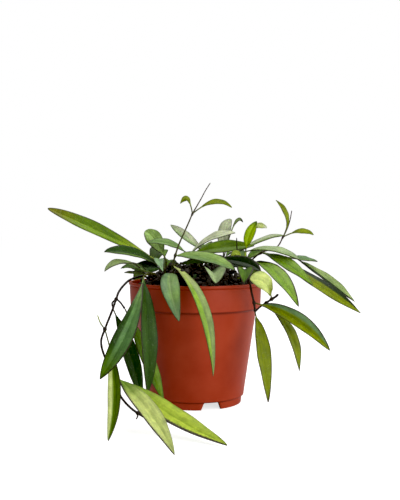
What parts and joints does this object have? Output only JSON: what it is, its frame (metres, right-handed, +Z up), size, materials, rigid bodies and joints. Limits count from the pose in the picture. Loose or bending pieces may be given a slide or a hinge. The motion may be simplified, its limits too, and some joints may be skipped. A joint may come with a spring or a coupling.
{
  "type": "potted hoya plant",
  "caption": "Narrow-leaved hoya with upright and trailing leafy stems, standing in soil in a tapered plastic nursery pot with a wide rim band and a notched foot.",
  "frame": {"origin": "Middle of the whole object's box in x and y, at the height of the pot's feet.", "axes": "+Z up, +X to the right of the picture's view, -Y towards the picture's viewer."},
  "size_m": [0.2378, 0.2312, 0.1753],
  "materials": {
    "pot_plastic": "satin moulded terracotta-coloured plastic",
    "soil": "dark moist potting mix with bark and perlite",
    "foliage": "thick semi-glossy leaves with thin dark margins on brown-green stems"
  },
  "bodies": {
    "root": {"pot": "pot_plastic", "soil": "soil", "stem_trailing_left": "foliage", "stem_drooping_left": "foliage", "stem_left": "foliage", "stem_tall_shoot": "foliage", "stem_centre": "foliage", "stem_short_right": "foliage", "stem_right": "foliage", "stem_trailing_right": "foliage", "stem_back_left": "foliage", "stem_back_middle": "foliage", "stem_back_right": "foliage", "stem_trailing_back": "foliage"}
  },
  "joints": []
}
